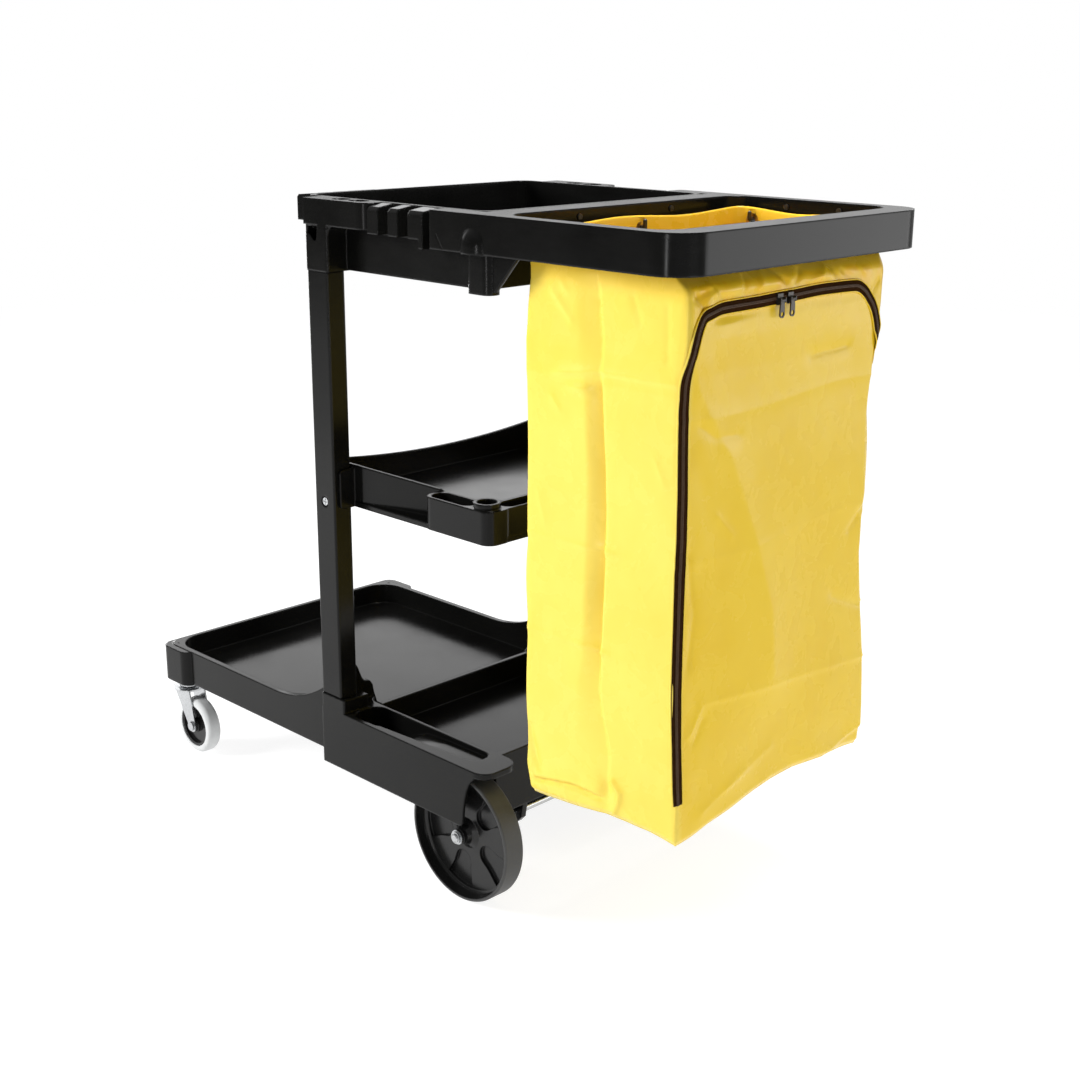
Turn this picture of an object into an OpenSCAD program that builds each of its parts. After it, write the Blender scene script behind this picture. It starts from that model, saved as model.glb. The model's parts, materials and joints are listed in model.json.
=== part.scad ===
// Janitor cart: moulded base, two uprights, middle shelf, top tray with a bag
// frame, hanging vinyl bag, two rear wheels on a through axle, two swivel casters.
// Millimetres. +X points to the bag end, -X to the casters, +Z up, floor at z = 0.
// "left" is the -Y side, the left hand of a person who pushes from the bag end.

/* [Overall] */
// Height of the top rail above the floor
top_z = 995; // [985:1:1005]
// Half width over the bag frame rails
rail_hw = 258; // [256:1:260]
// Half width over the base side panels
base_hw = 262; // [261:1:264]
// Half width over the front platform
front_hw = 250; // [246:1:252]

/* [Wheels] */
// Rear wheel radius
wheel_r = 100; // [96:1:102]
// Rear tyre width
wheel_w = 35; // [32:1:35]
// Rear axle radius
axle_r = 6.35; // [5:0.05:6.4]
// Caster wheel radius
caster_r = 50; // [47:1:50]
// Caster wheel width
caster_w = 26; // [22:1:26]
// Caster trail from swivel axis to wheel axle
caster_trail = 27; // [22:1:30]

/* [Trays] */
// Floor height of the platform trays
floor_z = 161; // [158:1:164]
// Floor height of the middle shelf
shelf_floor = 560; // [556:1:562]
// Depth of the top tray below the rail
tray_depth = 101; // [96:1:104]

/* [Bag] */
// Bag length along the cart
bag_x1 = 556; // [551:1:558]
// Half width of the bag
bag_hw = 218; // [214:1:220]
// Height of the bag bottom above the floor
bag_z0 = 205; // [200:1:215]

/* [Hidden] */
$fn = 64;
plastic = [0.13, 0.13, 0.12];
rubber = [0.20, 0.20, 0.19];
grey_rubber = [0.66, 0.67, 0.68];
steel = [0.78, 0.79, 0.80];
vinyl = [0.96, 0.87, 0.25];
brass = [0.72, 0.56, 0.28];
tape_c = [0.16, 0.11, 0.08];
dark_metal = [0.22, 0.20, 0.19];

deck_z = 218;                 // fender and rear lip level
post = [-117, -71, -260, -228]; // upright section: x0 x1 y0 y1
post_cx = (post[0] + post[1]) / 2;
seat_z = 240;                 // where the upright enters the base
collar_z = 893;               // where the upright enters the top tray collar
bolt_z = 551.5;               // shelf bolt height
axle_x = 188;                 // rear axle position
rw_y = 254;                   // outer face of the rear wheel
cs_x = -552;                  // caster swivel axis
cs_y = 227;
cw_x = cs_x + caster_trail;   // caster wheel axle
tray_z0 = top_z - tray_depth;
neck_z = 915;                 // bag neck starts here
hem_z = 979;                  // top of the bag hem
grom_z = 963;                 // grommet centres
peg_z = grom_z + 2.6;         // hook pegs sit at the top of the grommet holes
zip_z = 900;                  // straight top run of the zipper
zip_r = 50;                   // zipper corner radius
zip_y = 196;                  // zipper side runs
zip_w = 12;                   // zipper tape width

// ---- helpers ----------------------------------------------------------------
module both() { children(); mirror([0, 1, 0]) children(); }

// rounded rectangle outline between two corners
module rr(x0, x1, y0, y1, r) {
  translate([x0 + r, y0]) square([x1 - x0 - 2 * r, y1 - y0]);
  translate([x0, y0 + r]) square([x1 - x0, y1 - y0 - 2 * r]);
  for (x = [x0 + r, x1 - r], y = [y0 + r, y1 - r]) translate([x, y]) circle(r);
}
// upright prism on a rounded rectangle
module rbox(x0, x1, y0, y1, z0, z1, r) {
  translate([0, 0, z0]) linear_extrude(z1 - z0) rr(x0, x1, y0, y1, r);
}
module box(x0, x1, y0, y1, z0, z1) {
  translate([x0, y0, z0]) cube([x1 - x0, y1 - y0, z1 - z0]);
}
// cylinder along +Y from y0 to y1
module ycyl(x, z, r, y0, y1) {
  translate([x, y0, z]) rotate([-90, 0, 0]) cylinder(r = r, h = y1 - y0);
}
// cylinder along +X from x0 to x1
module xcyl(y, z, r, x0, x1) {
  translate([x0, y, z]) rotate([0, 90, 0]) cylinder(r = r, h = x1 - x0);
}
// profile in X and Z, extruded from y0 to y1
module xz(pts, y0, y1) {
  translate([0, y1, 0]) rotate([90, 0, 0]) linear_extrude(y1 - y0) polygon(pts);
}

// ---- base -------------------------------------------------------------------
module base_platform() color(plastic) difference() {
  union() {
    difference() {
      union() {
        rbox(-576, -60, -front_hw, front_hw, 138, seat_z, 24);
        both() rbox(-578, -503, -base_hw, -200, 135, 197, 18);
        box(-117, 215, -base_hw, base_hw, 124, deck_z);
        both() {
          rbox(120, 252, -base_hw, -191, 209, deck_z, 24);
          box(214, 229, -base_hw, -base_hw + 4, 186, 210);
          rbox(-117, -62, -base_hw, -216, 124, seat_z, 3);
        }
      }
      // front tray, its wall tops swept up to the uprights
      rbox(-568, -95, -front_hw + 10, front_hw - 10, floor_z, 300, 45);
      box(-600, -262, -300, 300, 198, 300);
      translate([0, -300, 0]) intersection() {
        ycyl(-262, 429, 231, 0, 600);
        box(-300, -117.01, 0, 600, 190, 300);
      }
      // rear tray and the lowered wall between the two trays
      rbox(-87, 205, -195, 195, floor_z, 300, 20);
      rbox(-112, -70, -183, 183, 200, 300, 8);
      box(-95.01, -50, -215.5, 215.5, deck_z, 300);
      // hollow underside
      rbox(-500, -124, -front_hw + 6, front_hw - 6, 100, floor_z - 6, 8);
      rbox(-570, -490, -192, 192, 100, floor_z - 6, 8);
      rbox(-110, 207, -198, 198, 100, floor_z - 6, 8);
      both() {
        rbox(-110, 100, -base_hw + 5, -204, 100, 150, 6);
        // wheel arch, open at the rear and below the side panel
        ycyl(axle_x, wheel_r, 107, -base_hw + 4, -208);
        box(axle_x, 400, -base_hw + 4, -208, 60, 207);
        xz([[199, 60], [199, 124.6], [203, 126], [205.2, 130], [206, 137], [207.4, 152], [210, 168], [213.6, 182], [218, 193],
          [222.6, 200.5], [229.2, 206], [240, 209], [400, 209], [400, 60]], -300, -258);
        box(207, 400, -258.01, -204, 60, 209);
        // tapered trough beside the rear tray
        intersection() {
          union() {
            rbox(-58, 20, -254.5, -200, 100, 300, 22);
            translate([0, 0, 100]) linear_extrude(200)
              polygon([[-40, -254.5], [184, -238], [194, -236.5], [202, -231], [206, -222], [205, -212], [200, -205], [192, -202], [-40, -200]]);
          }
          xz([[-80, 172], [-24, 172], [30, 193], [64, 207.5], [120, 210.5], [230, 211.5], [230, 300], [-80, 300]], -300, -100);
        }
        translate([-22, -229, 160]) cylinder(r = 9, h = 40);
        // upright socket
        box(-114.6, -73.4, -257.6, -230.4, 168, 300);
      }
    }
    // shaped web that stiffens the upright socket on its inner side
    both() translate([-98, 0, 0]) rotate([90, 0, 90]) linear_extrude(8)
      polygon([[-217, 150], [-164, 150], [-164, 200], [-174, 207], [-180, 226], [-182, 238], [-187, 245.5], [-191, 248], [-196, 248.5],
        [-200, 250.5], [-203, 255], [-206, 262], [-211, 275], [-217, 284], [-227.7, 290], [-227.7, 230], [-217, 230]]);
    // ribs under the floors
    for (y = [-120, 0, 120]) box(-492, -122, y - 2, y + 2, 142, floor_z - 5);
    for (x = [-420, -310, -200]) box(x - 2, x + 2, -246, 246, 142, floor_z - 5);
    for (y = [-100, 0, 100]) box(-112, 208, y - 2, y + 2, 136, floor_z - 5);
    // rear axle hangers
    both() {
      xz([[150, 157], [214, 157], [204, 96], [196, 87], [180, 87], [172, 96]], -204, -194);
      xz([[150, 157], [214, 157], [204, 96], [196, 87], [180, 87], [172, 96]], -142, -132);
    }
  }
  ycyl(axle_x, wheel_r, axle_r + 0.05, -300, 300);
  // moulding gate marks on the corner blocks
  both() translate([-556, -240, 196]) cylinder(r = 1.6, h = 5);
  // caster screw pilot holes
  both() for (dx = [-19, 19], dy = [-19, 19])
    translate([cs_x + dx, -cs_y + dy, 120]) cylinder(r = 2.5, h = 32);
}

// ---- uprights ---------------------------------------------------------------
module upright() difference() {
  union() {
    rbox(post[0], post[1], post[2], post[3], seat_z, collar_z, 3);
    rbox(post[0] + 2.7, post[1] - 2.7, post[2] + 2.7, post[3] - 2.7, 170, 931, 2);
  }
  box(post[0] + 7, post[1] - 7, post[2] + 7, post[3] - 7, 100, 1000);
  ycyl(post_cx, bolt_z, 8, -270, -256.5);
  ycyl(post_cx, bolt_z, 3.3, -270, -200);
}
module post_left() color(plastic) upright();
module post_right() color(plastic) mirror([0, 1, 0]) upright();

// ---- middle shelf -----------------------------------------------------------
module mid_shelf() color(plastic) difference() {
  union() {
    difference() {
      union() {
        // skirt, walls that draw in towards the pockets, pocket blocks
        rbox(-112, 227, -226, 226, 543, 551, 16);
        translate([0, 0, 543]) linear_extrude(64)
          polygon([[-112, -225], [-64, -225], [-50, -223.5], [90, -196], [226, -196], [226, 196], [90, 196], [-50, 223.5], [-64, 225], [-112, 225]]);
        both() rbox(90, 228, -228, -180, 543, 591, 17);
      }
      // tray
      translate([0, 0, shelf_floor]) linear_extrude(200)
        polygon([[-107, -220], [-64, -220], [-50, -218.5], [88, -190.5], [180, -188], [188, -180], [188, 180], [180, 188], [88, 190.5], [-50, 218.5], [-64, 220], [-107, 220]]);
      // hollow underside
      translate([0, 0, 500]) linear_extrude(54)
        polygon([[-107, -220], [-60, -220], [-50, -215], [78, -186], [184, -176], [184, 176], [78, 186], [-50, 215], [-60, 220], [-107, 220]]);
      // wall tops: falling to the low rim at the pockets, and a shallow dip between the uprights
      xz([[-62, 607.01], [90, 594], [97, 591], [300, 591], [300, 700], [-62, 700]], -240, 240);
      translate([-130, 0, 595 + 1672]) rotate([0, 90, 0]) cylinder(r = 1672, h = 30);
      both() {
        // pockets along the side and the rear edge
        translate([0, 0, 552]) linear_extrude(100) rr(96, 180, -223.5, -194, 14.5);
        translate([0, 0, 552]) linear_extrude(100) rr(194, 222, -185, -12, 13.5);
      }
    }
    both() {
      // raised tool ring
      translate([203, -208, 543]) cylinder(r = 19.5, h = 57);
      // flange against the upright and pad behind it
      difference() {
        box(-71, -66, -252, -221, 543, 602);
        box(-80, -60, -260, -246, 530, 549);
        box(-80, -60, -260, -246, 596, 610);
      }
      for (z = [549, 596]) xcyl(-246, z, 6, -71, -66);
      ycyl(post_cx, bolt_z + 4, 11, -228, -222);
    }
  }
  both() {
    // tool hole in the raised ring, with a groove around its outside
    translate([203, -208, 500]) cylinder(r = 14.5, h = 200);
    translate([203, -208, 592]) difference() { cylinder(r = 25, h = 1.6); translate([0, 0, -1]) cylinder(r = 18.4, h = 4); }
    // shelf bolt and room for its nut under the floor
    ycyl(post_cx, bolt_z, 3.3, -240, -210);
    box(post_cx - 8, post_cx + 8, -220, -205, 530, 558.5);
  }
}

// ---- top tray ---------------------------------------------------------------
module top_tray() color(plastic) difference() {
  union() {
    rbox(-165, 222, -225, 225, tray_z0, top_z, 25);
    both() {
      // thick rim over the upright, rounded at its end
      box(-122, -3, -260, -215, 958, top_z);
      translate([-3, -240, 958]) cylinder(r = 20, h = top_z - 958);
      box(-4, 17, -240, -215, 958, top_z);
      // collar around the top of the upright
      rbox(-119, -69, -260.5, -215, collar_z, 962, 4);
      difference() {
        box(-70, -56, -258, -215, 946, 960);
        ycyl(-56, 945, 13, -270, -200);
      }
    }
  }
  rbox(-159, 214, -219, 219, tray_z0 + 6, 1100, 22);
  both() {
    box(-114.6, -73.4, -257.6, -230.4, 850, 951);
    // scoop in the collar, open to the hollow above the upright, and two dishes in the rim
    xz([[-125, 949], [-115, 947], [-107, 943], [-100, 936], [-95, 935], [-92, 940], [-90, 957.9], [-125, 957.9]], -270, -258.4);
    xz([[-114.3, 946.5], [-107, 943], [-100, 936], [-95, 935], [-92, 940], [-90.3, 956], [-114.3, 956]], -259, -249);
    for (x = [[-76, -46], [-38, -6]])
      translate([0, 0, top_z - 2.5]) linear_extrude(10) rr(x[0], x[1], -250, -226, 11);
  }
  // screw holes in the wall behind the bag frame
  for (y = [-94, 94]) xcyl(y, 984, 2, 200, 240);
}

// comb of tongues that grip tool handles, on the side of the tray
module rack_side() {
  box(17.2, 140, -229, -225.1, 950, top_z);
  for (b = [[19, 41, 954], [63, 82, 954], [104, 133, 954], [125, 133, 942]])
    xz_tongue(b[0], b[1], b[2]);
}
module xz_tongue(x0, x1, z0)
  translate([x0, 0, 0]) rotate([90, 0, 90]) linear_extrude(x1 - x0)
    polygon([[-226, z0], [-258, z0], [-258, top_z - 9], [-254, top_z - 4], [-226, top_z]]);
module tool_rack_left() color(plastic) rack_side();
module tool_rack_right() color(plastic) mirror([0, 1, 0]) rack_side();

// comb across the front end of the tray
module tool_rack_front() color(plastic) {
  box(-169, -165.1, -214, -90, 952, top_z);
  for (y = [[-214, -194], [-179, -163], [-150, -134], [-123, -95]])
    xz([[-168, 956], [-196, 956], [-196, top_z - 6], [-192, top_z - 2], [-168, top_z]], y[0], y[1]);
}

// ---- bag frame --------------------------------------------------------------
module ring2(d) difference() {
  // outer outline, square at the tray end
  union() { rr(222.2 + d, 578 - d, -rail_hw + d, rail_hw - d, 48 - d); translate([222.2 + d, -rail_hw + d]) square([100, 2 * (rail_hw - d)]); }
  rr(264 - d, 536 + d, -236 - d, 236 + d, 32 + d);
}
module bag_frame() color(plastic) difference() {
  union() {
    difference() {
      translate([0, 0, 944]) linear_extrude(top_z - 944) ring2(0);
      translate([0, 0, 930]) linear_extrude(60) ring2(4);
      // the inner lip is shorter than the outer skirt
      translate([0, 0, 930]) linear_extrude(25) rr(258, 542, -242, 242, 38);
    }
    both() {
      difference() {
        rbox(144, 240, -rail_hw, -225.2, 944, top_z, 6);
        box(150, 300, -rail_hw + 4, -200, 930, 990);
        box(222, 400, -400, 0, 900, 1000);
      }
      // domed boss on the rail face
      intersection() {
        union() { translate([229, -240, 944]) cylinder(r = 28, h = 11); translate([229, -240, 955]) sphere(r = 28); }
        box(200, 260, -300, -255, 944, 990);
      }
      // sleeve below the boss, with a gusset to the rail
      rbox(211, 256, -254, -227, 892, 946, 12);
      box(213, 250, -256, -227.2, 944, 991);
      xz([[250, 896], [260, 896], [304, 946], [250, 946]], -246, -241);
    }
  }
  both() {
    // slanting score on the rail face
    xz([[159, 964], [160, 964], [173, 945], [172, 945]], -300, -257.4);
    for (x = [360, 450]) ycyl(x, 984, 2, -245, -230);
  }
  for (y = [-94, 94]) xcyl(y, 984, 2, 200, 280);
}

// ---- fasteners and hooks ----------------------------------------------------
// recessed pan head bolts that hold the shelf between the uprights
module shelf_bolts() color(steel) both() {
  ycyl(post_cx, bolt_z, 3.2, -256.5, -207);
  difference() {
    ycyl(post_cx, bolt_z, 6, -259.5, -256.5);
    box(post_cx - 5, post_cx + 5, -260, -258.3, bolt_z - 0.8, bolt_z + 0.8);
    box(post_cx - 0.8, post_cx + 0.8, -260, -258.3, bolt_z - 5, bolt_z + 5);
  }
}
module shelf_nuts() color(steel) both() difference() {
  translate([post_cx, -220, bolt_z]) rotate([-90, 0, 0]) cylinder(r = 6.2, h = 5, $fn = 6);
  ycyl(post_cx, bolt_z, 3.25, -230, -200);
}
// small screws through the inner lip of the bag frame
module frame_screws() color(dark_metal) {
  for (y = [-94, 94]) { xcyl(y, 984, 1.9, 216, 264); xcyl(y, 984, 4, 264, 266); }
  both() for (x = [360, 450]) { ycyl(x, 984, 1.9, -242, -236); ycyl(x, 984, 4, -236, -234); }
}
// wire hooks that carry the bag by its grommets
module hook(l) {
  xcyl(0, 0, 3, 0.2, l);
  translate([l, 0, 0]) sphere(r = 3);
  translate([l, 0, 0]) cylinder(r = 3, h = 9);
  translate([l, 0, 9]) sphere(r = 3);
  xcyl(0, 0, 8, 0.1, 2);
}
module bag_hooks() color(dark_metal) {
  translate([264, 0, peg_z]) hook(34);
  translate([536, 0, peg_z]) rotate([0, 0, 180]) hook(17);
  both() for (x = [316, 496]) translate([x, -236, peg_z]) rotate([0, 0, 90]) hook(28);
}

// ---- rear wheels ------------------------------------------------------------
module rear_axle() color(steel) difference() {
  ycyl(axle_x, wheel_r, axle_r, -263, 263);
  both() translate([0, -263, 0]) difference() {
    ycyl(axle_x, wheel_r, 10, -1, 1.2);
    translate([axle_x, 1.2, wheel_r]) rotate([90, 0, 0]) cylinder(r1 = axle_r, r2 = axle_r - 1.4, h = 1.4);
  }
}
module axle_washers() color(steel) both() for (y = [-218.6, -206.2]) difference() {
  ycyl(axle_x, wheel_r, 13, y, y + 1.6);
  ycyl(axle_x, wheel_r, axle_r + 0.05, y - 1, y + 3);
}
module axle_push_nuts() color(steel) both() difference() {
  union() { ycyl(axle_x, wheel_r, 11, -257.2, -255); ycyl(axle_x, wheel_r, 9, -260.4, -257.2); }
  ycyl(axle_x, wheel_r, axle_r + 0.02, -270, -250);
}
// deep dished wheel with a thin rim, five broad spokes between hollows, small hub in the middle
module wheel_core() translate([axle_x, 0, wheel_r]) difference() {
  ycyl(0, 0, 96, -rw_y, -rw_y + wheel_w);
  // outer and inner dish
  translate([0, -rw_y, 0]) rotate([-90, 0, 0]) rotate_extrude()
    polygon([[12.6, -6], [94.8, -6], [94.8, 1], [93.6, 13], [92.4, 16.4], [89, 18], [24, 18], [16, 13], [12.6, 6]]);
  translate([0, -rw_y + wheel_w, 0]) rotate([-90, 0, 0]) rotate_extrude()
    polygon([[19, 6], [92.6, 6], [92.6, -1], [91, -7], [19, -7]]);
  for (i = [0:4]) rotate([0, i * 72 + 29, 0]) intersection() {
    union() {
      ycyl(48, 0, 16, -rw_y - 5, -rw_y + 23);
      xz([[47, -16], [47, 16], [60, 18], [100, 32], [100, -32], [60, -18]], -rw_y - 5, -rw_y + 23);
    }
    ycyl(0, 0, 88.2, -rw_y - 6, -rw_y + 24);
  }
  ycyl(0, 0, axle_r + 0.05, -300, -200);
}
module tyre(r, rin, w, c) rotate_extrude() translate([0, -w / 2]) polygon([[rin, 0], [r - c, 0], [r - 0.3 * c, 0.3 * c], [r, c], [r, w - c], [r - 0.3 * c, w - 0.3 * c], [r - c, w], [rin, w]]);
module rear_tyre() translate([axle_x, -rw_y + wheel_w / 2, wheel_r]) rotate([90, 0, 0]) tyre(wheel_r, 96, wheel_w, 2.6);
module rear_wheel_left() color(plastic) wheel_core();
module rear_wheel_right() color(plastic) mirror([0, 1, 0]) wheel_core();
module rear_tyre_left() color(rubber) rear_tyre();
module rear_tyre_right() color(rubber) mirror([0, 1, 0]) rear_tyre();

// ---- casters ----------------------------------------------------------------
module caster_plate() difference() {
  rbox(cs_x - 25, cs_x + 25, -cs_y - 25, -cs_y + 25, 131, 135, 6);
  for (dx = [-19, 19], dy = [-19, 19]) translate([cs_x + dx, -cs_y + dy, 100]) cylinder(r = 2.6, h = 60);
  translate([cs_x, -cs_y, 100]) cylinder(r = 6.05, h = 60);
}
module caster_screw_set() for (dx = [-19, 19], dy = [-19, 19]) translate([cs_x + dx, -cs_y + dy, 0]) {
  translate([0, 0, 128.4]) cylinder(r = 4.4, h = 2.6);
  translate([0, 0, 131]) cylinder(r = 2.4, h = 20);
}
module caster_race() difference() {
  union() {
    translate([cs_x, -cs_y, 118]) cylinder(r = 13, h = 13);
    translate([cs_x, -cs_y, 119]) cylinder(r = 17, h = 5);
  }
  translate([cs_x, -cs_y, 100]) cylinder(r = 6.05, h = 60);
}
module caster_kingpin() {
  translate([cs_x, -cs_y, 107]) cylinder(r = 6, h = 28);
  translate([cs_x, -cs_y, 106.4]) cylinder(r = 10, h = 4.6);
}
// pressed steel fork: domed top plate and two tapering legs
module fork_leg(y0, y1) {
  xz([[cs_x - 24, 115], [cs_x + 24, 115], [cw_x + 11, 50], [cw_x - 11, 50]], y0, y1);
  ycyl(cw_x, 50, 11, y0, y1);
}
module caster_fork() difference() {
  union() {
    translate([cs_x, -cs_y, 112]) cylinder(r = 26, h = 3);
    translate([cs_x, -cs_y, 114.9]) cylinder(r1 = 21, r2 = 16, h = 2.6);
    rbox(cs_x - 24, cs_x + 24, -cs_y - 16.6, -cs_y + 16.6, 112, 115, 2);
    fork_leg(-cs_y - 16.6, -cs_y - 14.1);
    fork_leg(-cs_y + 14.1, -cs_y + 16.6);
  }
  translate([cs_x, -cs_y, 90]) cylinder(r = 6.1, h = 60);
  ycyl(cw_x, 50, 5.05, -300, -150);
}
module caster_axle() {
  ycyl(cw_x, 50, 5, -cs_y - 17, -cs_y + 21);
  ycyl(cw_x, 50, 8, -cs_y - 20, -cs_y - 16.6);
}
module caster_nut() difference() {
  translate([cw_x, -cs_y + 16.6, 50]) rotate([-90, 0, 0]) cylinder(r = 8.6, h = 5, $fn = 6);
  ycyl(cw_x, 50, 5.05, -cs_y, -cs_y + 40);
}
module caster_core() difference() {
  union() {
    ycyl(cw_x, 50, 38, -cs_y - caster_w / 2 + 2, -cs_y + caster_w / 2 - 2);
    ycyl(cw_x, 50, 11, -cs_y - caster_w / 2 - 0.7, -cs_y + caster_w / 2 + 0.7);
  }
  for (s = [-1, 1]) difference() {
    ycyl(cw_x, 50, 33, -cs_y + s * (caster_w / 2 - 2) - 5, -cs_y + s * (caster_w / 2 - 2) + 5);
    ycyl(cw_x, 50, 13, -cs_y - 40, -cs_y + 40);
  }
  ycyl(cw_x, 50, 5.05, -300, -150);
}
module caster_tread() translate([cw_x, -cs_y, 50]) rotate([90, 0, 0]) rotate_extrude() difference() {
  union() {
    translate([38, -caster_w / 2]) square([caster_r - 38 - 8, caster_w]);
    translate([38, -caster_w / 2 + 8]) square([caster_r - 38, caster_w - 16]);
    for (y = [-caster_w / 2 + 8, caster_w / 2 - 8]) translate([caster_r - 8, y]) circle(8);
  }
  translate([0, -50]) square([38, 100]);
}
module caster_plate_left() color(steel) caster_plate();
module caster_plate_right() color(steel) mirror([0, 1, 0]) caster_plate();
module caster_screws() color(steel) both() caster_screw_set();
module caster_race_left() color(steel) caster_race();
module caster_race_right() color(steel) mirror([0, 1, 0]) caster_race();
module caster_kingpin_left() color(steel) caster_kingpin();
module caster_kingpin_right() color(steel) mirror([0, 1, 0]) caster_kingpin();
module caster_fork_left() color(steel) caster_fork();
module caster_fork_right() color(steel) mirror([0, 1, 0]) caster_fork();
module caster_axle_left() color(steel) caster_axle();
module caster_axle_right() color(steel) mirror([0, 1, 0]) caster_axle();
module caster_nut_left() color(steel) caster_nut();
module caster_nut_right() color(steel) mirror([0, 1, 0]) caster_nut();
module caster_wheel_left() color(plastic) caster_core();
module caster_wheel_right() color(plastic) mirror([0, 1, 0]) caster_core();
module caster_tyre_left() color(grey_rubber) caster_tread();
module caster_tyre_right() color(grey_rubber) mirror([0, 1, 0]) caster_tread();

// ---- bag --------------------------------------------------------------------
module grommet_at(kind) {
  translate([288, 0, grom_z]) rotate([0, 90, 0]) if (kind == 0) cylinder(r = 7, h = 12, center = true); else eyelet();
  translate([531, 0, grom_z]) rotate([0, -90, 0]) if (kind == 0) cylinder(r = 7, h = 12, center = true); else eyelet();
  both() for (x = [316, 496]) translate([x, -bag_hw, grom_z]) rotate([-90, 0, 0])
    if (kind == 0) cylinder(r = 7, h = 12, center = true); else eyelet();
}
// two flanges and a barrel through a wall 3 mm thick
module eyelet() rotate_extrude() polygon([[6, -1], [11, -1], [11, 0], [6.95, 0], [6.95, 3], [11, 3], [11, 4], [6, 4]]);
module vinyl_bag() color(vinyl) difference() {
  union() {
    rbox(302, bag_x1, -bag_hw, bag_hw, bag_z0, neck_z, 24);
    rbox(288, 531, -bag_hw, bag_hw, neck_z - 3, hem_z, 14);
  }
  rbox(305, bag_x1 - 3, -bag_hw + 3, bag_hw - 3, bag_z0 + 3, neck_z - 3, 21);
  rbox(305, 528, -bag_hw + 3, bag_hw - 3, neck_z - 10, hem_z, 11);
  rbox(291, 528, -bag_hw + 3, bag_hw - 3, neck_z, 1100, 11);
  grommet_at(0);
}
module bag_grommets() color(brass) grommet_at(1);

// zipper tape: an arch on the rear face of the bag
module zipper_tape() color(tape_c) translate([bag_x1, 0, 0]) {
  both() {
    translate([0, -zip_y - zip_w / 2, 262]) cube([1.2, zip_w, zip_z - zip_r - 262]);
    translate([0, -zip_y + zip_r, zip_z - zip_r]) rotate([0, 90, 0]) intersection() {
      difference() { cylinder(r = zip_r + zip_w / 2, h = 1.2); translate([0, 0, -1]) cylinder(r = zip_r - zip_w / 2, h = 4); }
      translate([-100, -100, 0]) cube([100, 100, 2]);
    }
  }
  translate([0, -zip_y + zip_r, zip_z - zip_w / 2]) cube([1.2, 2 * (zip_y - zip_r), zip_w]);
}
// slider with a bail that holds the pull tab
module slider(y) translate([bag_x1, y, zip_z]) {
  translate([1.6, -5.5, -7]) cube([3.4, 11, 14]);
  translate([4.9, -5.5, -4]) cube([5.2, 1.5, 6]);
  translate([4.9, 4, -4]) cube([5.2, 1.5, 6]);
  ycyl(8, -1, 1.2, -4.6, 4.6);
}
module pull(y) translate([bag_x1 + 8, y, zip_z - 1]) difference() {
  union() {
    ycyl(0, 0, 2.4, -3.7, 3.7);
    translate([-1, 0, 0]) rotate([90, 0, 90]) linear_extrude(2)
      polygon([[-3.7, 0], [-3.7, -4.8], [-4.2, -6.4], [-4.6, -17.8], [4.6, -17.8], [4.2, -6.4], [3.7, -4.8], [3.7, 0]]);
    translate([-1, 0, -17.4]) rotate([0, 90, 0]) cylinder(r = 4.8, h = 2);
  }
  ycyl(0, 0, 1.26, -5, 5);
  translate([-5, 0, -17.2]) rotate([0, 90, 0]) cylinder(r = 3.1, h = 10);
}
module zipper_slider_left() color(dark_metal) slider(-43);
module zipper_slider_right() color(dark_metal) slider(-21.5);
module zipper_pull_left() color(dark_metal) pull(-43);
module zipper_pull_right() color(dark_metal) pull(-21.5);

base_platform();
post_left();
post_right();
mid_shelf();
top_tray();
bag_frame();
tool_rack_left();
tool_rack_right();
tool_rack_front();
shelf_bolts();
shelf_nuts();
frame_screws();
bag_hooks();
rear_axle();
axle_washers();
axle_push_nuts();
rear_wheel_left();
rear_tyre_left();
rear_wheel_right();
rear_tyre_right();
caster_plate_left();
caster_plate_right();
caster_screws();
caster_race_left();
caster_race_right();
caster_kingpin_left();
caster_kingpin_right();
caster_fork_left();
caster_fork_right();
caster_axle_left();
caster_axle_right();
caster_nut_left();
caster_nut_right();
caster_wheel_left();
caster_wheel_right();
caster_tyre_left();
caster_tyre_right();
vinyl_bag();
bag_grommets();
zipper_tape();
zipper_slider_left();
zipper_slider_right();
zipper_pull_left();
zipper_pull_right();
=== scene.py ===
import json
import math

import bpy
import bmesh
import numpy as np
from mathutils import Matrix, Vector


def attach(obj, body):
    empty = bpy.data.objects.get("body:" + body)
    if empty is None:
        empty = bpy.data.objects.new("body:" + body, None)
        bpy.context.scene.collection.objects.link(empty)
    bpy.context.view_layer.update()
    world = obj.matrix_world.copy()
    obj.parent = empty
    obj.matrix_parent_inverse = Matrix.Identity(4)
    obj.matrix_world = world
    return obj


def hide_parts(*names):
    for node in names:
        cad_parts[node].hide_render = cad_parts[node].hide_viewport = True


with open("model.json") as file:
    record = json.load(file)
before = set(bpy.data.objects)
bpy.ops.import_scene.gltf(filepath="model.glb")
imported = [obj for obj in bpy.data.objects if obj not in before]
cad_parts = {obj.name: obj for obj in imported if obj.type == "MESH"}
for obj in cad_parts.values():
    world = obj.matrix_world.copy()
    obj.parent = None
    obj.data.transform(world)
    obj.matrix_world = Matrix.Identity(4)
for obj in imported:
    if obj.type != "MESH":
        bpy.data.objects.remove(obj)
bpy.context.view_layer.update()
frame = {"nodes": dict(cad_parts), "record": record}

NODES = frame["nodes"]
scene = bpy.context.scene


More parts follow.
